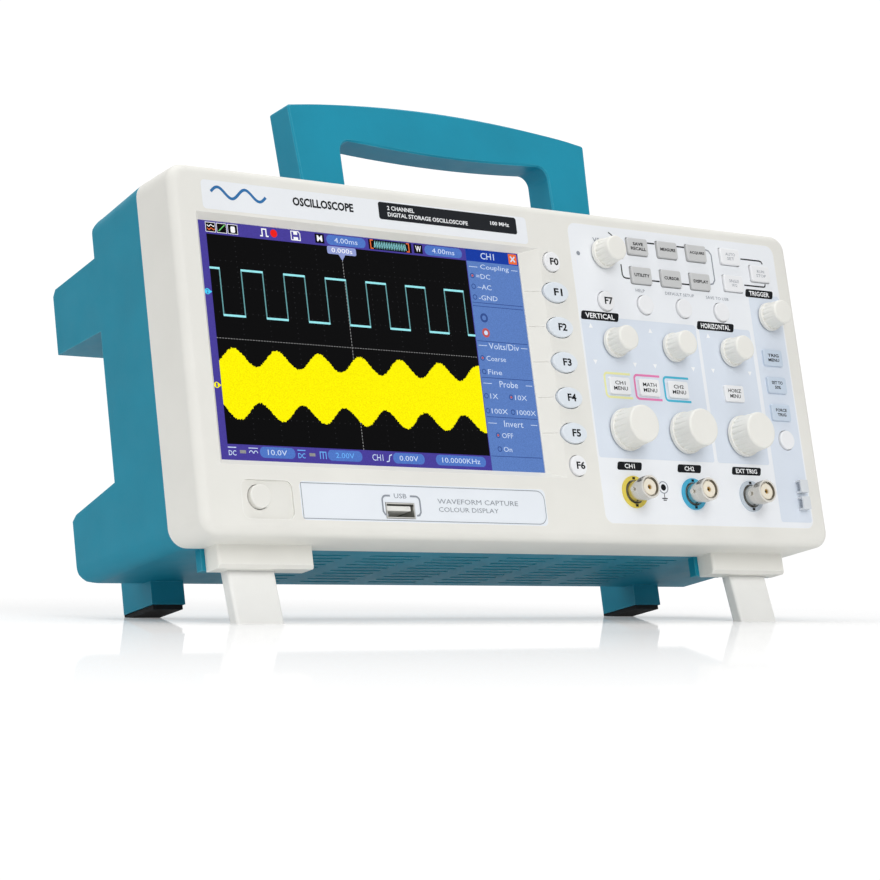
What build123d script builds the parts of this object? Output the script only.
"""Benchtop two-channel digital oscilloscope, standing on its front tilt legs.

Every piece is modelled in the case frame: X to the right from the middle, Y to the rear from
the front face, Z up from the underside of the bezel. The whole instrument is then leaned back
onto the floor plane that runs under the tilt legs and the rear rubber pads.
"""
from build123d import *
import math
import os

os.makedirs("parts", exist_ok=True)

# ---------------------------------------------------------------- case
WIDTH = 313.0
HEIGHT = 138.4
BEZEL_DEPTH = 23.8
CASE_DEPTH = 57.6           # front face to the rear wall beside the bulge
BUMPER_DEPTH = 90.8         # front face to the back of the bumpers
BULGE_DEPTH = 88.0          # front face to the back of the middle bulge
WALL = 2.5
FRONT_WALL = 3.0
CORNER = 7.0                # rounding of the long edges of the case
FRONT_ROUNDING = 3.5
UPPER_BUMPER_Z = (90.2, 117.5)
LOWER_STEP_Z = 32.0         # top of the deep lower part of the housing
BUMPER_WIDTH = 27.0
BULGE_X = (-124.0, 124.0)
BULGE_TOP = 116.5
SHOULDER_DROP = 8.0         # height of the rounded top rear edge
TOP_SLOPE = 3.3             # fall of the top from the bezel to the shoulder
SHOULDER_START = 54.0

# ---------------------------------------------------------------- stance
LEG_TIP = (17.2, -28.9)     # Y and Z of the front edge of a leg's sole
PAD_HEEL = (104.6, -9.8)   # Y and Z of the rear edge of a pad's bevel
TILT = math.degrees(math.atan2(PAD_HEEL[1] - LEG_TIP[1], PAD_HEEL[0] - LEG_TIP[0]))

# ---------------------------------------------------------------- front layout, X from the left edge
SCREEN = (11.8, 27.9, 150.0, 90.0)      # left, bottom, width, height of the visible window
SCREEN_SINK = 2.5
SCREEN_BEVEL_RIGHT = 9.0
SCREEN_BEVEL_OTHER = 2.2
BADGE = (92.8, 125.0, 68.0, 7.0)
STRIP = (42.3, 6.0, 115.4, 14.4)
OVERLAY = (187.8, 7.8, 116.4, 125.0)
POWER_RECESS = (17.2, 6.0, 22.0, 14.4)
PLATE_SINK = 0.5
RECESS_SINK = 0.8

CHANNEL_COLUMNS = {"ch1": 204.8, "ch2": 237.1, "time": 269.7}
TRIGGER_COLUMN = 295.5
SCALE_ROW = 46.4
POSITION_ROW = 82.8
BNC_ROW = 20.8

# ---------------------------------------------------------------- keys
KEY_PROUD = 1.2
KEY_TRAVEL = 1.0
KEY_GAP = 0.3
KEY_FLANGE = 1.0
FLANGE_THICKNESS = 0.8
PLUNGER_RADIUS = 1.5
MAT_FRONT = 5.4
MAT_THICKNESS = 1.0
PLUNGER_END = 6.7
SWITCH_FRONT = 7.9
BOARD_FRONT = 9.5
BOARD_THICKNESS = 1.6

ROUND_KEY = (8.2, 8.2)
OVAL_KEY = (12.8, 8.4)
SQUARE_KEY = (11.0, 7.2)
POWER_KEY = (8.8, 8.8)

# ---------------------------------------------------------------- knobs and sockets
LARGE_KNOB_RADIUS = 8.85
SMALL_KNOB_RADIUS = 6.25
LARGE_KNOB_FRONT = -11.8
SMALL_KNOB_FRONT = -9.6
KNOB_REAR = -0.8
SHAFT_RADIUS = 3.0
SHAFT_END = 8.4
ENCODER_SIZE = 12.0
ENCODER_FRONT = 4.0
RUNNING_CLEARANCE = 0.06

BNC_FRONT = -10.0
BNC_COLLAR_RADIUS = 4.8
BNC_COLLAR_LENGTH = 3.8
BNC_BORE_RADIUS = 4.05
BNC_BARREL_RADIUS = 4.3
BNC_INSULATOR_RADIUS = 3.3
BNC_RING_RADIUS = 6.6

# ---------------------------------------------------------------- handle
HANDLE_Y = (31.4, 47.0)
HANDLE_RAKE = 2.4             # how far the front of the handle slopes back from pivot to crown
HANDLE_HALF_WIDTH = 74.0
HANDLE_ARM = 20.3
HANDLE_FLARE = 2.8            # how far the top corners stand out beyond the half width
HANDLE_TAPER = 1.0            # how far the arms draw in at the pivot
HANDLE_TOP = 182.3
HANDLE_CROWN = 187.7
GRIP_UNDERSIDE = 169.9
GRIP_SAG = 168.1
HANDLE_PIVOT_Z = 127.0
HANDLE_PIN_RADIUS = 3.0
HANDLE_PIN_LENGTH = 3.0
SLOT_GAP = 0.4

# ---------------------------------------------------------------- tilt legs and feet
LEG_X = (21.4, 41.8)        # from the left edge; the right leg mirrors it
LEG_THICKNESS = 5.6
LEG_PIVOT = (23.7, -4.9)    # Y and Z of the leg's pin
LEG_LEAN = 8.7              # degrees that the leg stands forward of square
LEG_LENGTH = 26.0
LEG_PIN_RADIUS = 2.0
LEG_PIN_LENGTH = 2.6
BLOCK_X = (14.5, 56.0)
BLOCK_Y = (15.0, BEZEL_DEPTH)
BLOCK_BOTTOM = -8.7
BOSS_X = (12.8, 58.0)
BOSS_REAR = 27.4
BOSS_BOTTOM = -8.1
FOOT_X = (26.3, 41.0)
FOOT_Y = (82.0, 104.6)
FOOT_BOTTOM = -9.0
PAD_BOTTOM = -10.8

# ---------------------------------------------------------------- inside
MAIN_BOARD_Y = 20.0
SCREW_PLACES = ((6.0, 40.0), (6.0, 123.5), (307.0, 40.0), (307.0, 123.5), (156.5, 127.6))
POST_FRONT = 11.5
SCREW_RADIUS = 1.4
SCREW_HEAD_RADIUS = 2.8
SCREW_HEAD_Y = 44.0
INLET_CENTRE = (60.0, 52.0)
INLET_SIZE = (27.2, 19.6)
FAN_CENTRE = (225.0, 72.0)
FAN_SIZE = 60.0
FAN_DEPTH = 15.0
FAN_BORE = 28.5
REAR_BNC = (268.5, 46.0)
REAR_USB = (268.5, 76.0)
FRONT_USB = (86.8, 10.4)
PROBE_TAB_X = 299.0
PROBE_TAB_Z = (18.2, 25.4)

nodes = {}


# ---------------------------------------------------------------- shape helpers
def from_left(x):
    """X in the case frame of a distance measured from the left edge."""
    return x - WIDTH / 2


def block(x_span, y_span, z_span):
    """Box between two values of X, Y and Z."""
    spans = (x_span, y_span, z_span)
    size = [high - low for low, high in spans]
    middle = [(high + low) / 2 for low, high in spans]
    return Pos(*middle) * Box(*size)


def slab(outline, front, rear):
    """An outline in X and Z, from y = front to y = rear."""
    return extrude(Plane.XZ.offset(-rear) * outline, amount=rear - front)


def rod(x, z, radius, front, rear):
    """Cylinder along Y."""
    return slab(Pos(x, z) * Circle(radius), front, rear)


def cross_rod(x_span, y, z, radius):
    """Cylinder along X."""
    length = x_span[1] - x_span[0]
    middle = (x_span[0] + x_span[1]) / 2
    return Pos(middle, y, z) * Rot(Y=90) * Cylinder(radius, length)


def mirrored_span(span):
    """The same span, seen from the other side of the middle."""
    return (-span[1], -span[0])


def plate_outline(plate, rounding, grow=0.0):
    """Rounded rectangle given by its left, bottom, width and height on the front."""
    left, bottom, width, height = plate
    outline = RectangleRounded(width + 2 * grow, height + 2 * grow, rounding)
    return Pos(from_left(left + width / 2), bottom + height / 2) * outline


def front_edges(shape):
    """Edges of the face that looks to the front."""
    return shape.faces().sort_by(Axis.Y)[0].edges()


def key_outline(key, grow=0.0):
    """Outline of a key: a circle, an ellipse or a rounded rectangle."""
    x, z, style = key
    width, height = style
    if style is SQUARE_KEY:
        shape = RectangleRounded(width + 2 * grow, height + 2 * grow, 0.9)
    else:
        shape = Ellipse(width / 2 + grow, height / 2 + grow)
    return Pos(from_left(x), z) * shape


# ---------------------------------------------------------------- controls on the front
def key_layout():
    """Every key: its centre from the left edge and its style."""
    soft_column = 176.5
    keys = {"power_button": (24.6, 14.1, POWER_KEY)}
    keys["f0_key"] = (soft_column, 114.8, ROUND_KEY)
    for number in range(1, 6):
        keys[f"f{number}_key"] = (soft_column, 102.0 - 14.55 * (number - 1), OVAL_KEY)
    keys["f6_key"] = (soft_column, 30.6, ROUND_KEY)

    small_row = ("f7_key", "help_key", "default_setup_key", "save_to_usb_key")
    for place, name in enumerate(small_row):
        keys[name] = (203.1 + 21.55 * place, 100.4, ROUND_KEY)

    menu_rows = (
        (125.4, ("save_recall_key", "measure_key", "acquire_key")),
        (112.9, ("utility_key", "cursor_key", "display_key")),
    )
    for row, names in menu_rows:
        for place, name in enumerate(names):
            keys[name] = (224.3 + 16.6 * place, row, SQUARE_KEY)

    keys["autoset_key"] = (277.0, 125.6, SQUARE_KEY)
    keys["single_seq_key"] = (277.0, 113.7, SQUARE_KEY)
    keys["run_stop_key"] = (293.8, 119.3, SQUARE_KEY)

    for place, name in enumerate(("ch1_menu_key", "math_menu_key", "ch2_menu_key")):
        keys[name] = (204.1 + 16.0 * place, 64.7, SQUARE_KEY)
    keys["horiz_menu_key"] = (267.9, 64.7, SQUARE_KEY)

    for place, name in enumerate(("trig_menu_key", "set_to_half_key", "force_trig_key")):
        keys[name] = (293.9, 81.8 - 12.05 * place, SQUARE_KEY)
    keys["probe_check_key"] = (295.2, 45.8, ROUND_KEY)
    return keys


def knob_layout():
    """Every knob: its centre from the left edge and its radius."""
    knobs = {"multi_knob": (204.9, 120.7, SMALL_KNOB_RADIUS)}
    for name, column in CHANNEL_COLUMNS.items():
        knobs[f"{name}_position_knob"] = (column, POSITION_ROW, SMALL_KNOB_RADIUS)
        knobs[f"{name}_scale_knob"] = (column, SCALE_ROW, LARGE_KNOB_RADIUS)
    knobs["trigger_level_knob"] = (TRIGGER_COLUMN, 100.2, SMALL_KNOB_RADIUS)
    return knobs


KEYS = key_layout()
KNOBS = knob_layout()


def make_key(key):
    """Cap through the bezel, a flange behind it and a plunger that reaches the switch."""
    x, z, _ = key
    flange_front = FRONT_WALL + KEY_GAP
    flange_rear = flange_front + FLANGE_THICKNESS
    cap = slab(key_outline(key), -KEY_PROUD, flange_front)
    cap = fillet(front_edges(cap), 0.45)
    flange = slab(key_outline(key, KEY_FLANGE), flange_front, flange_rear)
    plunger = rod(from_left(x), z, PLUNGER_RADIUS, flange_rear, PLUNGER_END)
    return cap + flange + plunger


def make_knob(knob):
    """Fluted cap pressed on a round shaft, as two solids."""
    x, z, radius = knob
    large = radius == LARGE_KNOB_RADIUS
    front = LARGE_KNOB_FRONT if large else SMALL_KNOB_FRONT
    grip_radius = radius - 0.6
    grip_taper = 0.5
    skirt = 1.4
    bore_end = front + 2.0
    flutes = 20 if large else 16
    flute_radius = 0.9

    profile = Polyline(
        (0, KNOB_REAR),
        (radius, KNOB_REAR),
        (radius - 0.15, KNOB_REAR - skirt),
        (grip_radius, KNOB_REAR - skirt),
        (grip_radius - grip_taper, front),
        (0, front),
        close=True,
    )
    cap = revolve(make_face(profile), Axis.Y)
    rim = cap.faces().sort_by(Axis.Y)[0].edges()
    cap = fillet(rim, 0.9)
    offset = grip_radius + flute_radius - 0.45
    cuts = []
    for number in range(flutes):
        angle = 2 * math.pi * number / flutes
        flute_x = offset * math.cos(angle)
        flute_z = offset * math.sin(angle)
        cuts.append(rod(flute_x, flute_z, flute_radius, front - 1, KNOB_REAR - skirt))
    cap -= cuts
    cap -= rod(0, 0, SHAFT_RADIUS, bore_end, KNOB_REAR)
    shaft = rod(0, 0, SHAFT_RADIUS, bore_end, SHAFT_END)
    place = Pos(from_left(x), 0, z)
    return Compound([place * cap, place * shaft])


# ---------------------------------------------------------------- front bezel
def bezel_posts():
    """Posts that take the case screws, joined to the side walls and, by a rib, to the top."""
    posts = [rod(from_left(x), z, 3.6, POST_FRONT, BEZEL_DEPTH) for x, z in SCREW_PLACES]
    top_x, top_z = SCREW_PLACES[-1]
    centre = from_left(top_x)
    posts.append(block((centre - 1, centre + 1), (POST_FRONT, BEZEL_DEPTH), (top_z, HEIGHT - 1)))
    return posts


def leg_span(side):
    """X span of the left (-1) or right (1) tilt leg."""
    left = tuple(from_left(x) for x in LEG_X)
    return left if side < 0 else mirrored_span(left)


def leg_pockets():
    """Pockets and pin bores for both legs, open below and to the rear."""
    cuts = []
    half = LEG_THICKNESS / 2
    lean_room = (LEG_PIVOT[1] - BLOCK_BOTTOM) * math.tan(math.radians(LEG_LEAN))
    depth = (LEG_PIVOT[0] - half - lean_room - 0.6, BOSS_REAR + 1.0)
    height = (BLOCK_BOTTOM - 1.0, LEG_PIVOT[1] + half + 0.5)
    for side in (-1, 1):
        leg = leg_span(side)
        cuts.append(block((leg[0] - SLOT_GAP, leg[1] + SLOT_GAP), depth, height))
        pin = (leg[0] - LEG_PIN_LENGTH - 0.3, leg[1] + LEG_PIN_LENGTH + 0.3)
        cuts.append(cross_rod(pin, *LEG_PIVOT, LEG_PIN_RADIUS + RUNNING_CLEARANCE))
    return cuts


def leg_block(side):
    """White block under the bezel, in front of a tilt leg."""
    x_span = mirrored_span(tuple(from_left(x) for x in BLOCK_X))
    x_span = x_span if side > 0 else mirrored_span(x_span)
    shape = block(x_span, BLOCK_Y, (BLOCK_BOTTOM, 1.0))
    lower_front = shape.faces().sort_by(Axis.Z)[0].edges().group_by(Axis.Y)[0]
    shape = chamfer(lower_front, 1.4)
    upright = shape.edges().filter_by(Axis.Z).group_by(Axis.Y)[0]
    return fillet(upright, 1.2)


def screen_bevel():
    """Sloped recess from the front face down to the edge of the screen window."""
    left, bottom, width, height = SCREEN
    window = Pos(from_left(left + width / 2), bottom + height / 2) * Rectangle(width, height)
    outer_width = width + SCREEN_BEVEL_OTHER + SCREEN_BEVEL_RIGHT
    outer_height = height + 2 * SCREEN_BEVEL_OTHER
    outer_x = from_left(left - SCREEN_BEVEL_OTHER + outer_width / 2)
    outer = Pos(outer_x, bottom + height / 2) * Rectangle(outer_width, outer_height)
    mouth = Plane.XZ * outer
    throat = Plane.XZ.offset(-SCREEN_SINK) * window
    return loft([mouth.face(), throat.face()]) + slab(window, SCREEN_SINK, FRONT_WALL)


def soft_key_notches():
    """Shallow grooves down the wide bevel, level with the five oval soft keys."""
    left, _, width, _ = SCREEN
    window_edge = from_left(left + width)
    slope = SCREEN_SINK / SCREEN_BEVEL_RIGHT
    start, end = 0.8, SCREEN_BEVEL_RIGHT - 1.5
    bottom, top = 0.3, -1.0
    profile = Polyline(
        (window_edge + start, SCREEN_SINK - start * slope + top),
        (window_edge + end, SCREEN_SINK - end * slope + top),
        (window_edge + end, SCREEN_SINK - end * slope + bottom),
        (window_edge + start, SCREEN_SINK - start * slope + bottom),
        close=True,
    )
    groove = extrude(make_face(profile), amount=0.25, both=True)
    return [Pos(0, 0, KEYS[f"f{number}_key"][1]) * groove for number in range(1, 6)]


def make_front_bezel():
    """White front moulding with every opening for the controls."""
    outline = Pos(0, HEIGHT / 2) * RectangleRounded(WIDTH, HEIGHT, CORNER)
    shell = slab(outline, 0, BEZEL_DEPTH)
    shell = fillet(front_edges(shell), FRONT_ROUNDING)
    cavity = Pos(0, HEIGHT / 2) * RectangleRounded(WIDTH - 2 * WALL, HEIGHT - 2 * WALL, CORNER - WALL)
    shell -= slab(cavity, FRONT_WALL, BEZEL_DEPTH)
    shell += leg_block(-1)
    shell += leg_block(1)

    for post in bezel_posts():
        shell += post

    cuts = [screen_bevel()]
    cuts += soft_key_notches()
    cuts.append(slab(plate_outline(OVERLAY, 4.0), 0, PLATE_SINK))
    cuts.append(slab(plate_outline(STRIP, 2.0), 0, PLATE_SINK))
    cuts.append(slab(plate_outline(BADGE, 1.0), 0, PLATE_SINK))
    cuts.append(slab(plate_outline(POWER_RECESS, 3.0), 0, RECESS_SINK))
    for key in KEYS.values():
        cuts.append(slab(key_outline(key, KEY_GAP), 0, FRONT_WALL))
    for x, z, _ in KNOBS.values():
        cuts.append(rod(from_left(x), z, 4.2, 0, FRONT_WALL))
    for x in CHANNEL_COLUMNS.values():
        cuts.append(rod(from_left(x), BNC_ROW, 4.9, 0, FRONT_WALL))
    cuts.append(slab(usb_a_outline(0.2), 0, FRONT_WALL))
    for z in PROBE_TAB_Z:
        cuts.append(slab(Pos(from_left(PROBE_TAB_X), z) * Rectangle(5.4, 6.4), 0, FRONT_WALL))
    for x, z in SCREW_PLACES:
        cuts.append(rod(from_left(x), z, SCREW_RADIUS, POST_FRONT + 1.0, BEZEL_DEPTH))
    cuts += leg_pockets()
    return shell - cuts


def usb_a_outline(grow=0.0):
    """Outline of the shell of the host socket."""
    return Pos(from_left(FRONT_USB[0]), FRONT_USB[1]) * Rectangle(13.2 + 2 * grow, 5.8 + 2 * grow)


# ---------------------------------------------------------------- printed plates on the front
def make_control_overlay():
    """Printed film over the control field, open for every key, knob and socket."""
    film = slab(plate_outline(OVERLAY, 4.0), 0, PLATE_SINK)
    left, bottom, width, height = OVERLAY
    cuts = []
    for x, z, style in KEYS.values():
        if left < x < left + width:
            cuts.append(slab(key_outline((x, z, style), KEY_GAP), 0, PLATE_SINK))
    for x, z, _ in KNOBS.values():
        cuts.append(rod(from_left(x), z, 4.2, 0, PLATE_SINK))
    for x in CHANNEL_COLUMNS.values():
        cuts.append(rod(from_left(x), BNC_ROW, 4.9, 0, PLATE_SINK))
    for z in PROBE_TAB_Z:
        cuts.append(slab(Pos(from_left(PROBE_TAB_X), z) * Rectangle(5.4, 6.4), 0, PLATE_SINK))
    return film - cuts


def make_front_labels():
    """Badge above the screen and the long strip under it, as two thin plates."""
    badge = slab(plate_outline(BADGE, 1.0), 0, PLATE_SINK)
    strip = slab(plate_outline(STRIP, 2.0), 0, PLATE_SINK)
    strip -= slab(usb_a_outline(0.2), 0, PLATE_SINK)
    return Compound([badge, strip])


def make_bnc_rings():
    """Coloured collars round the three front sockets."""
    rings = []
    for x in CHANNEL_COLUMNS.values():
        ring = rod(from_left(x), BNC_ROW, BNC_RING_RADIUS, -0.6, 0)
        ring -= rod(from_left(x), BNC_ROW, 4.95, -0.6, 0)
        rings.append(ring)
    return Compound(rings)


# ---------------------------------------------------------------- display and key electronics
def make_display_panel():
    """Liquid crystal module: metal frame behind a glass plate."""
    left, bottom, width, height = SCREEN
    glass_front = FRONT_WALL + 0.05
    glass_rear = glass_front + 1.3
    glass = slab(plate_outline(SCREEN, 0.5, 3.0), glass_front, glass_rear)
    frame = slab(plate_outline((left, bottom, width, height), 1.0, 5.5), glass_rear, 9.8)
    return Compound([glass, frame])


def keypad_area():
    """Area of the mat and the board behind the control field, with a tab for the lowest soft key."""
    field = plate_outline((170.5, 36.0, 130.5, 98.0), 1.0)
    tab = plate_outline((170.5, 25.0, 13.0, 14.0), 1.0)
    return field + tab


def make_key_mat():
    """Silicone sheet that lies behind the key flanges."""
    mat = slab(keypad_area(), MAT_FRONT, MAT_FRONT + MAT_THICKNESS)
    mat_rear = MAT_FRONT + MAT_THICKNESS
    cuts = []
    for name, (x, z, _) in KEYS.items():
        if name != "power_button":
            cuts.append(rod(from_left(x), z, PLUNGER_RADIUS + 0.4, MAT_FRONT, mat_rear))
    opening = ENCODER_SIZE + 1.0
    for x, z, _ in KNOBS.values():
        cuts.append(slab(Pos(from_left(x), z) * Rectangle(opening, opening), MAT_FRONT, mat_rear))
    return mat - cuts


def make_keypad_board():
    """Circuit boards behind the keys, with one tact switch per key."""
    board_rear = BOARD_FRONT + BOARD_THICKNESS
    board = slab(keypad_area(), BOARD_FRONT, board_rear)
    power_board = slab(plate_outline((14.0, 4.0, 26.0, 17.0), 1.0), BOARD_FRONT, board_rear)
    pieces = [board, power_board]
    switch_size = 6.0
    dome_height = 0.8
    for x, z, _ in KEYS.values():
        square = Pos(from_left(x), z) * Rectangle(switch_size, switch_size)
        base = slab(square, SWITCH_FRONT + dome_height, BOARD_FRONT)
        dome = rod(from_left(x), z, 1.7, SWITCH_FRONT, SWITCH_FRONT + dome_height)
        pieces.append(base + dome)
    return Compound(pieces)


def make_rotary_encoders():
    """Encoder bodies with a round neck whose bore carries the knob's shaft."""
    bodies = []
    for x, z, _ in KNOBS.values():
        centre = from_left(x)
        square = Pos(centre, z) * Rectangle(ENCODER_SIZE, ENCODER_SIZE)
        body = slab(square, ENCODER_FRONT, BOARD_FRONT)
        body += rod(centre, z, 3.9, 1.0, ENCODER_FRONT)
        body -= rod(centre, z, SHAFT_RADIUS + RUNNING_CLEARANCE, 1.0, SHAFT_END + 0.4)
        bodies.append(body)
    return Compound(bodies)


# ---------------------------------------------------------------- sockets
def bnc_jack(flange_rear):
    """One jack with its mouth at y = BNC_FRONT: shell, insulator and centre contact."""
    collar_rear = BNC_FRONT + BNC_COLLAR_LENGTH
    shell = rod(0, 0, BNC_COLLAR_RADIUS, BNC_FRONT, collar_rear)
    shell += rod(0, 0, BNC_BARREL_RADIUS, collar_rear, 3.2)
    shell += cross_rod((-5.5, 5.5), collar_rear + 1.4, 0, 0.95)
    shell += slab(RectangleRounded(14.0, 14.0, 1.0), 3.2, flange_rear)
    shell -= rod(0, 0, BNC_BORE_RADIUS, BNC_FRONT, collar_rear)
    shell -= rod(0, 0, BNC_INSULATOR_RADIUS, BNC_FRONT, 0.0)
    insulator = rod(0, 0, BNC_INSULATOR_RADIUS, BNC_FRONT + 0.6, 0.0)
    insulator -= rod(0, 0, 1.1, BNC_FRONT + 0.6, 0.0)
    contact = rod(0, 0, 1.05, BNC_FRONT + 1.2, 0.0)
    contact -= rod(0, 0, 0.5, BNC_FRONT + 1.2, -3.0)
    return [shell, insulator, contact]


def make_bnc_connectors():
    """Three front jacks and the pass/fail jack on the rear bulge."""
    pieces = []
    for x in CHANNEL_COLUMNS.values():
        for solid in bnc_jack(12.0):
            pieces.append(Pos(from_left(x), 0, BNC_ROW) * solid)
    x, z = REAR_BNC
    turned = Pos(from_left(x), BULGE_DEPTH, z) * Rot(Z=180)
    for solid in bnc_jack(10.0):
        pieces.append(turned * solid)
    return Compound(pieces)


def make_usb_ports():
    """Host socket in the front strip and device socket on the rear bulge."""
    shell = slab(usb_a_outline(), -0.1, 14.0)
    shell -= slab(usb_a_outline(-0.4), -0.1, 11.0)
    tongue = slab(Pos(from_left(FRONT_USB[0]), FRONT_USB[1] + 1.1) * Rectangle(11.2, 1.8), 1.2, 11.0)
    x, z = REAR_USB
    centre = from_left(x)
    rear_shell = slab(Pos(centre, z) * Rectangle(12.0, 11.0), BULGE_DEPTH - 16.0, BULGE_DEPTH + 0.2)
    rear_shell -= slab(Pos(centre, z) * Rectangle(9.0, 8.2), BULGE_DEPTH - 10.0, BULGE_DEPTH + 0.2)
    rear_tongue = slab(Pos(centre, z) * Rectangle(5.6, 3.0), BULGE_DEPTH - 10.0, BULGE_DEPTH - 1.0)
    return Compound([shell, tongue, rear_shell, rear_tongue])


def make_probe_terminals():
    """Two bent metal tabs that a probe hook clips onto."""
    tabs = []
    x_span = (from_left(PROBE_TAB_X - 2.2), from_left(PROBE_TAB_X + 2.2))
    for z in PROBE_TAB_Z:
        loop = block(x_span, (-3.2, 6.0), (z - 2.7, z + 2.7))
        loop -= block(x_span, (-2.5, 6.0), (z - 2.0, z + 2.0))
        tabs.append(loop)
    base_x = (from_left(PROBE_TAB_X - 3.5), from_left(PROBE_TAB_X + 3.5))
    base = block(base_x, (6.0, 9.0), (PROBE_TAB_Z[0] - 4.0, PROBE_TAB_Z[1] + 4.0))
    return Compound(tabs + [base])


def make_power_inlet():
    """Three-pin mains inlet: flanged body with a cavity and three flat blades."""
    x, z = INLET_CENTRE
    centre = from_left(x)
    width, height = INLET_SIZE
    rear = BULGE_DEPTH
    body = slab(Pos(centre, z) * RectangleRounded(width, height, 1.5), rear - 19.0, rear)
    body += slab(Pos(centre, z) * RectangleRounded(width + 4, height + 4, 2.0), rear, rear + 1.6)
    cavity = chamfer((Pos(centre, z) * Rectangle(24.4, 16.4)).vertices().group_by(Axis.Y)[-1], 4.0)
    body -= slab(cavity, rear - 15.0, rear + 1.6)
    blades = []
    for blade_x, blade_z in ((-7.0, -1.0), (0.0, 3.0), (7.0, -1.0)):
        blade = Pos(centre + blade_x, z + blade_z) * Rectangle(2.0, 4.0)
        blades.append(slab(blade, rear - 15.0, rear - 5.0))
    return Compound([body] + blades)


# ---------------------------------------------------------------- rear housing
def housing_body(inset):
    """Solid of the rear housing, shrunk by inset on every side."""
    side = WIDTH / 2 - inset
    top = HEIGHT - inset
    bottom = inset
    case_rear = CASE_DEPTH - inset
    low_rear = BUMPER_DEPTH - inset
    step = LOWER_STEP_Z - inset
    profile = [
        (BEZEL_DEPTH, bottom),
        (low_rear - 4.0, bottom),
        (low_rear - 1.2, bottom + 1.2),
        (low_rear, bottom + 4.0),
        (low_rear, step - 7.5),
        (low_rear - 3.0, step - 5.5),
        (case_rear, step),
        (case_rear, top - SHOULDER_DROP),
        (SHOULDER_START - inset, top - TOP_SLOPE),
        (BEZEL_DEPTH, top),
    ]
    outline = make_face(Plane.YZ * Polyline(*profile, close=True))
    body = extrude(outline, amount=side, both=True)

    bulge = block(
        (BULGE_X[0] + inset, BULGE_X[1] - inset),
        (case_rear - 6.0, BULGE_DEPTH - inset),
        (step - 12.0, BULGE_TOP - inset),
    )
    body += bulge
    full = Pos(0, HEIGHT / 2) * RectangleRounded(2 * side, HEIGHT - 2 * inset, CORNER - inset)
    low_height = HEIGHT - TOP_SLOPE
    low = Pos(0, low_height / 2) * RectangleRounded(2 * side, low_height - 2 * inset, CORNER - inset)
    start = (Plane.XZ.offset(-BEZEL_DEPTH) * full).face()
    end = (Plane.XZ.offset(-SHOULDER_START) * low).face()
    return body & (loft([start, end]) + slab(low, SHOULDER_START, BUMPER_DEPTH))


def upper_bumpers():
    """Blocks at the top rear corners that guard the back and hold a wound cord."""
    low, high = UPPER_BUMPER_Z
    profile = Polyline(
        (CASE_DEPTH - WALL, low),
        (BUMPER_DEPTH, low),
        (BUMPER_DEPTH, high - 4.0),
        (BUMPER_DEPTH - 2.0, high - 1.6),
        (CASE_DEPTH - WALL, high + 1.6),
        close=True,
    )
    section = make_face(Plane.YZ * profile)
    bumper = extrude(section, amount=BUMPER_WIDTH)
    left = Pos(-WIDTH / 2, 0, 0) * bumper
    right = Pos(WIDTH / 2 - BUMPER_WIDTH, 0, 0) * bumper
    return [left, right]


def handle_arm_spans():
    """X spans of the two arms of the handle."""
    right = (HANDLE_HALF_WIDTH - HANDLE_ARM, HANDLE_HALF_WIDTH)
    return [mirrored_span(right), right]


def handle_axis_y():
    """Y of the handle's pivot, midway through its thickness."""
    return (HANDLE_Y[0] + HANDLE_Y[1]) / 2


def handle_pockets():
    """Solid blocks inside the top of the case, and the slots and bores cut in them."""
    solids = []
    cuts = []
    half_thickness = (HANDLE_Y[1] - HANDLE_Y[0]) / 2
    floor = HANDLE_PIVOT_Z - half_thickness - 0.6
    for x_span in handle_arm_spans():
        wide = (x_span[0] - 6.0, x_span[1] + 6.0)
        solids.append(block(wide, (HANDLE_Y[0] - 3.5, CASE_DEPTH - 1.0), (floor - WALL, HEIGHT - 7.5)))
        slot = (x_span[0] - SLOT_GAP, x_span[1] + SLOT_GAP)
        cuts.append(block(slot, (HANDLE_Y[0] - 0.6, CASE_DEPTH + 1.0), (floor, HEIGHT + 1.0)))
        pin = (x_span[0] - HANDLE_PIN_LENGTH - 0.3, x_span[1] + HANDLE_PIN_LENGTH + 0.3)
        bore_radius = HANDLE_PIN_RADIUS + RUNNING_CLEARANCE
        cuts.append(cross_rod(pin, handle_axis_y(), HANDLE_PIVOT_Z, bore_radius))
    return solids, cuts


def leg_bosses():
    """Blue rims under the case, behind the white blocks that carry the legs."""
    left = tuple(from_left(x) for x in BOSS_X)
    return [
        block(span, (BEZEL_DEPTH, BOSS_REAR), (BOSS_BOTTOM, 1.0))
        for span in (left, mirrored_span(left))
    ]


def foot_span(side):
    """X span of the left (-1) or right (1) rear foot."""
    left = tuple(from_left(x) for x in FOOT_X)
    return left if side < 0 else mirrored_span(left)


def rear_feet():
    """Feet under the rear edge of the case."""
    feet = []
    for side in (-1, 1):
        foot = block(foot_span(side), FOOT_Y, (FOOT_BOTTOM, 14.0))
        upright = foot.edges().filter_by(Axis.Z).group_by(Axis.Y)[-1]
        feet.append(fillet(upright, 1.5))
    return feet


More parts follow.
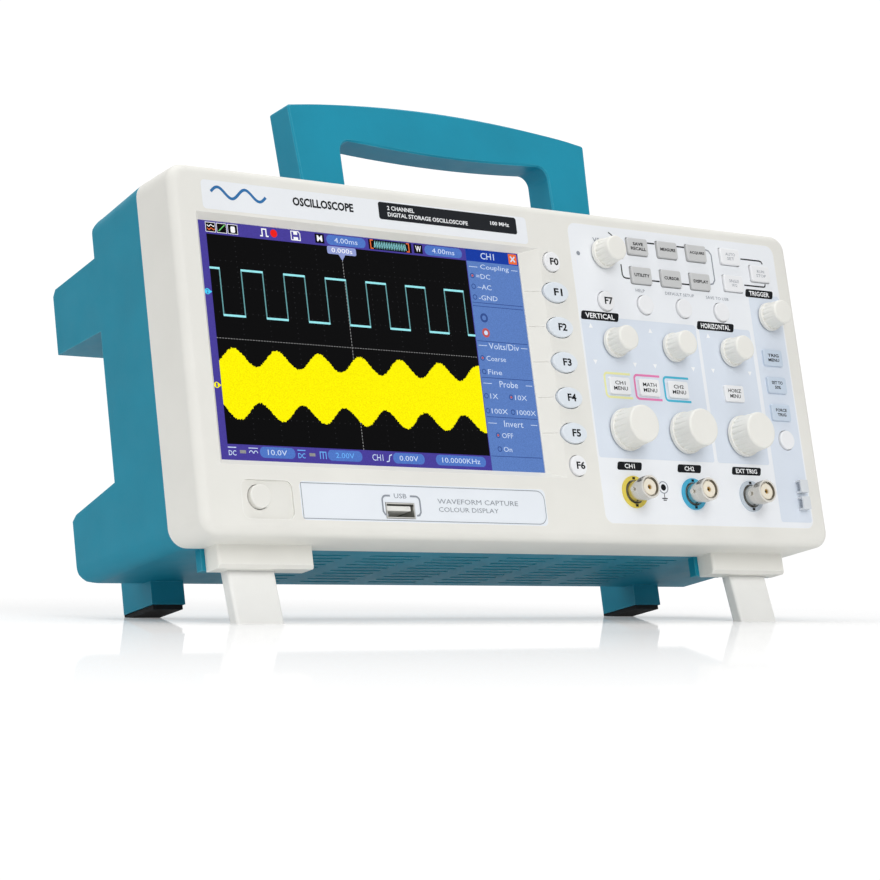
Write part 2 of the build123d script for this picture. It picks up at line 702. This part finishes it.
def vent_slits():
    """Slits through the underside, and a round grille behind the fan."""
    cuts = []
    slit_length = 24.0
    columns = [-84.0 + 33.6 * place for place in range(6)]
    rows = [31.0 + 5.4 * place for place in range(10)]
    for x in columns:
        for y in rows:
            cuts.append(block((x - slit_length / 2, x + slit_length / 2), (y, y + 1.8), (-1.0, WALL + 1.0)))
    fan_x, fan_z = FAN_CENTRE
    centre = from_left(fan_x)
    through_wall = (BULGE_DEPTH - WALL - 1, BULGE_DEPTH + 1)
    pitch = 5.2
    half_slit = 1.4
    for place in range(-5, 6):
        height = place * pitch
        half = math.sqrt(FAN_BORE ** 2 - height ** 2) - 1.5
        z = fan_z + height
        cuts.append(block((centre - half, centre + half), through_wall, (z - half_slit, z + half_slit)))
    return cuts


def screw_tubes():
    """Tubes in the housing for the long case screws, and their stepped holes."""
    solids = []
    cuts = []
    for x, z in SCREW_PLACES:
        centre = from_left(x)
        solids.append(rod(centre, z, 4.6, BEZEL_DEPTH, CASE_DEPTH - WALL))
        cuts.append(rod(centre, z, SCREW_RADIUS + 0.3, BEZEL_DEPTH, SCREW_HEAD_Y))
        cuts.append(rod(centre, z, SCREW_HEAD_RADIUS + 0.4, SCREW_HEAD_Y, CASE_DEPTH))
    return solids, cuts


def board_posts():
    """Posts that carry the main board and the power supply board."""
    posts = []
    for x in (22.0, 291.0):
        for z in (52.0, 106.0):
            posts.append(rod(from_left(x), z, 3.0, MAIN_BOARD_Y + BOARD_THICKNESS, CASE_DEPTH - WALL))
    for x in (86.0, 161.0):
        for z in (38.0, 104.0):
            posts.append(rod(from_left(x), z, 3.0, 77.6, BULGE_DEPTH - WALL))
    return posts


def rear_sockets():
    """Openings in the bulge for the inlet, the device socket, the rear jack and a lock."""
    rear = (BULGE_DEPTH - WALL - 1, BULGE_DEPTH + 1)
    x, z = INLET_CENTRE
    width, height = INLET_SIZE
    cuts = [slab(Pos(from_left(x), z) * RectangleRounded(width, height, 1.5), *rear)]
    x, z = REAR_USB
    cuts.append(slab(Pos(from_left(x), z) * Rectangle(12.0, 11.0), *rear))
    x, z = REAR_BNC
    cuts.append(rod(from_left(x), z, 4.75, *rear))
    cuts.append(slab(Pos(from_left(REAR_USB[0]), 98.0) * RectangleRounded(7.0, 3.0, 0.4), *rear))
    return cuts


def make_rear_housing():
    """Blue rear moulding: shell, bumpers, feet, pockets, posts and vents."""
    shell = housing_body(0) - housing_body(WALL)
    for bumper in upper_bumpers():
        shell += bumper
    pocket_solids, pocket_cuts = handle_pockets()
    tube_solids, tube_cuts = screw_tubes()
    for solid in pocket_solids + leg_bosses() + tube_solids + rear_feet() + board_posts():
        shell += solid
    shell -= pocket_cuts + leg_pockets() + tube_cuts + vent_slits() + rear_sockets()
    round_edges = Pos(0, HEIGHT / 2 - 10) * RectangleRounded(WIDTH, HEIGHT + 20, CORNER)
    return shell & slab(round_edges, BEZEL_DEPTH, FOOT_Y[1])


# ---------------------------------------------------------------- inside the case
def make_main_board():
    """Main circuit board with its chips, heat sink, capacitors and connectors."""
    front = MAIN_BOARD_Y
    rear = front + BOARD_THICKNESS
    board = slab(plate_outline((14.0, 8.0, 286.0, 110.0), 2.0), front, rear)
    pieces = [board]
    chips = (
        (120.0, 70.0, 27.0, 2.2),
        (160.0, 74.0, 19.0, 1.8),
        (184.0, 60.0, 10.0, 1.2),
        (184.0, 84.0, 10.0, 1.2),
        (236.0, 66.0, 14.0, 1.6),
    )
    for x, z, size, height in chips:
        pieces.append(slab(Pos(from_left(x), z) * Rectangle(size, size), rear, rear + height))
    for x in (60.0, 72.0, 84.0):
        pieces.append(rod(from_left(x), 30.0, 4.0, rear, rear + 11.0))
    fin_base = rear + 2.2
    sink = slab(Pos(from_left(120.0), 70.0) * Rectangle(27.0, 27.0), fin_base, fin_base + 1.8)
    for place in range(-4, 5):
        fin = Pos(from_left(120.0 + 3.0 * place), 70.0) * Rectangle(1.0, 27.0)
        sink += slab(fin, fin_base + 1.8, fin_base + 9.0)
    pieces.append(sink)
    ribbon_socket = slab(Pos(from_left(250.0), 100.0) * Rectangle(34.0, 6.0), front - 5.0, front)
    pieces.append(ribbon_socket)
    return Compound(pieces)


def make_shield_cans():
    """Thin metal cans over the three analogue inputs."""
    cans = []
    for x in CHANNEL_COLUMNS.values():
        outer = slab(Pos(from_left(x), 26.0) * Rectangle(28.0, 32.0), 13.0, MAIN_BOARD_Y)
        inner = slab(Pos(from_left(x), 26.0) * Rectangle(27.0, 31.0), 13.5, MAIN_BOARD_Y)
        cans.append(outer - inner)
    return Compound(cans)


def make_power_supply_board():
    """Switching supply: board, transformer, capacitors and heat sink, facing forward."""
    rear = 77.6
    front = rear - BOARD_THICKNESS
    board = slab(plate_outline((82.0, 34.0, 83.0, 74.0), 1.0), front, rear)
    core = block((from_left(112.0), from_left(140.0)), (front - 21.0, front), (58.0, 84.0))
    large_capacitor = rod(from_left(98.0), 94.0, 8.0, front - 20.0, front)
    pieces = [board, core, large_capacitor]
    for z in (48.0, 61.0, 74.0):
        pieces.append(rod(from_left(154.0), z, 4.0, front - 13.0, front))
    pieces.append(block((from_left(90.0), from_left(93.0)), (front - 18.0, front), (46.0, 82.0)))
    return Compound(pieces)


def make_fan_frame():
    """Square fan frame with a round bore and a bearing on four struts."""
    x, z = FAN_CENTRE
    centre = from_left(x)
    rear = BULGE_DEPTH - WALL
    front = rear - FAN_DEPTH
    square = Pos(centre, z) * RectangleRounded(FAN_SIZE, FAN_SIZE, 3.0)
    frame = slab(square, front, rear) - rod(centre, z, FAN_BORE, front, rear)
    for strut in (Rectangle(FAN_SIZE - 2, 3.0), Rectangle(3.0, FAN_SIZE - 2)):
        frame += slab(Pos(centre, z) * strut, front, front + 2.0)
    frame += rod(centre, z, 10.0, front, front + 2.0)
    frame += rod(centre, z, 4.0, front, front + 7.0)
    frame -= rod(centre, z, 1.5 + RUNNING_CLEARANCE, front, front + 7.0)
    return frame


def make_fan_rotor():
    """Fan hub with seven pitched blades and its shaft."""
    x, z = FAN_CENTRE
    front = BULGE_DEPTH - WALL - FAN_DEPTH
    hub_front = front + 3.0
    hub_rear = front + 13.5
    hub = rod(0, 0, 12.0, hub_front, hub_rear) - rod(0, 0, 10.5, hub_front, hub_rear - 1.5)
    shaft = rod(0, 0, 1.5, front + 0.5, hub_rear - 1.5)
    blade_count = 7
    blade = block((11.5, 27.0), (-0.7, 0.7), (-6.5, 6.5))
    blade = Pos(0, (hub_front + hub_rear) / 2, 0) * Rot(X=52) * blade
    rotor = hub + shaft
    for number in range(blade_count):
        rotor += Rot(Y=360 * number / blade_count) * blade
    inside_bore = rod(0, 0, 27.3, hub_front, hub_rear)
    rotor = rotor & (inside_bore + shaft)
    return Pos(from_left(x), 0, z) * rotor


def make_case_screws():
    """Pan-head screws that pull the bezel and the housing together."""
    screws = []
    for x, z in SCREW_PLACES:
        centre = from_left(x)
        screw = rod(centre, z, SCREW_RADIUS, POST_FRONT + 2.0, SCREW_HEAD_Y)
        screw += rod(centre, z, SCREW_HEAD_RADIUS, SCREW_HEAD_Y, SCREW_HEAD_Y + 2.2)
        slot = Pos(centre, z) * (Rectangle(3.2, 0.8) + Rectangle(0.8, 3.2))
        screw -= slab(slot, SCREW_HEAD_Y + 1.0, SCREW_HEAD_Y + 2.2)
        screws.append(screw)
    return Compound(screws)


# ---------------------------------------------------------------- handle, legs and pads
def floor_cutter():
    """Everything under the floor plane that the instrument stands on."""
    reach = 600.0
    return Pos(0, *LEG_TIP) * Rot(X=TILT) * Pos(0, 0, -reach / 2) * Box(reach, reach, reach)


def make_handle():
    """Carrying handle: two arms, a crowned grip and a pivot pin on each side of an arm."""
    half = HANDLE_HALF_WIDTH
    inner = half - HANDLE_ARM
    foot = HANDLE_PIVOT_Z
    inner_corner = 5.0
    wide = half + HANDLE_FLARE
    narrow = half - HANDLE_TAPER
    crown = ThreePointArc((-wide, HANDLE_TOP), (0, HANDLE_CROWN), (wide, HANDLE_TOP))
    sides = Polyline(
        (wide, HANDLE_TOP), (narrow, foot), (inner, foot), (inner, GRIP_UNDERSIDE - inner_corner)
    )
    right_corner = ThreePointArc(
        (inner, GRIP_UNDERSIDE - inner_corner),
        (inner - 0.3 * inner_corner, GRIP_UNDERSIDE - 0.3 * inner_corner),
        (inner - inner_corner, GRIP_UNDERSIDE),
    )
    sag = ThreePointArc(
        (inner - inner_corner, GRIP_UNDERSIDE), (0, GRIP_SAG), (inner_corner - inner, GRIP_UNDERSIDE)
    )
    left_corner = ThreePointArc(
        (inner_corner - inner, GRIP_UNDERSIDE),
        (0.3 * inner_corner - inner, GRIP_UNDERSIDE - 0.3 * inner_corner),
        (-inner, GRIP_UNDERSIDE - inner_corner),
    )
    return_path = Polyline(
        (-inner, GRIP_UNDERSIDE - inner_corner), (-inner, foot), (-narrow, foot), (-wide, HANDLE_TOP)
    )
    outline = make_face([crown, sides, right_corner, sag, left_corner, return_path])
    front, rear = HANDLE_Y
    raked = Polyline(
        (front, foot), (front + HANDLE_RAKE, HANDLE_CROWN), (rear, HANDLE_CROWN), (rear, foot), close=True
    )
    handle = slab(outline, front, rear) & extrude(make_face(Plane.YZ * raked), amount=wide, both=True)
    outer_corners = handle.edges().filter_by(Axis.Y).group_by(Axis.Z)[-1]
    handle = fillet(outer_corners, 1.2)
    rims = handle.faces().sort_by(Axis.Y)
    raised = [edge for face in (rims[0], rims[-1]) for edge in face.edges() if edge.center().Z > foot + 1]
    handle = chamfer(raised, 0.6)
    end_radius = (rear - front) / 2
    for x_span in handle_arm_spans():
        eye = tuple(max(-narrow, min(narrow, x)) for x in x_span)
        handle += cross_rod(eye, handle_axis_y(), foot, end_radius)
        pin = (x_span[0] - HANDLE_PIN_LENGTH, x_span[1] + HANDLE_PIN_LENGTH)
        handle += cross_rod(pin, handle_axis_y(), foot, HANDLE_PIN_RADIUS)
    return handle


def make_leg(side):
    """Folding tilt leg with its eye, its pins and a sole cut flat to the floor."""
    x_span = leg_span(side)
    half = LEG_THICKNESS / 2
    bar = block(x_span, (-half, half), (-LEG_LENGTH - 3.0, 0))
    bar = fillet(bar.edges().filter_by(Axis.Z), 1.2)
    bar += cross_rod(x_span, 0, 0, half)
    leg = Pos(0, *LEG_PIVOT) * Rot(X=-LEG_LEAN) * bar
    leg += cross_rod((x_span[0] - LEG_PIN_LENGTH, x_span[1] + LEG_PIN_LENGTH), *LEG_PIVOT, LEG_PIN_RADIUS)
    return leg - floor_cutter()


def make_rubber_pads():
    """Rubber pads under the rear feet, bevelled where they meet the floor when tilted."""
    pads = []
    inset = 0.8
    for side in (-1, 1):
        span = foot_span(side)
        x_span = (span[0] + inset, span[1] - inset)
        pad = block(x_span, (FOOT_Y[0] + inset, FOOT_Y[1]), (PAD_BOTTOM, FOOT_BOTTOM))
        pads.append(pad - floor_cutter())
    return Compound(pads)


# ---------------------------------------------------------------- assembly
for key_name, key_place in KEYS.items():
    nodes[key_name] = make_key(key_place)
for knob_name, knob_place in KNOBS.items():
    nodes[knob_name] = make_knob(knob_place)

nodes["front_bezel"] = make_front_bezel()
nodes["control_overlay"] = make_control_overlay()
nodes["front_labels"] = make_front_labels()
nodes["bnc_rings"] = make_bnc_rings()
nodes["display_panel"] = make_display_panel()
nodes["key_mat"] = make_key_mat()
nodes["keypad_board"] = make_keypad_board()
nodes["rotary_encoders"] = make_rotary_encoders()
nodes["bnc_connectors"] = make_bnc_connectors()
nodes["usb_ports"] = make_usb_ports()
nodes["probe_terminals"] = make_probe_terminals()
nodes["power_inlet"] = make_power_inlet()
nodes["rear_housing"] = make_rear_housing()
nodes["main_board"] = make_main_board()
nodes["shield_cans"] = make_shield_cans()
nodes["power_supply_board"] = make_power_supply_board()
nodes["fan_frame"] = make_fan_frame()
nodes["fan_rotor"] = make_fan_rotor()
nodes["case_screws"] = make_case_screws()
nodes["carry_handle"] = make_handle()
nodes["left_leg"] = make_leg(-1)
nodes["right_leg"] = make_leg(1)
nodes["rubber_pads"] = make_rubber_pads()

leaned = Rot(X=-TILT)
extent = Compound([leaned * shape for shape in nodes.values()]).bounding_box()
stand = Pos(-extent.center().X, -extent.center().Y, -extent.min.Z) * leaned

for node_name, shape in nodes.items():
    export_step(stand * shape, f"parts/{node_name}.step")
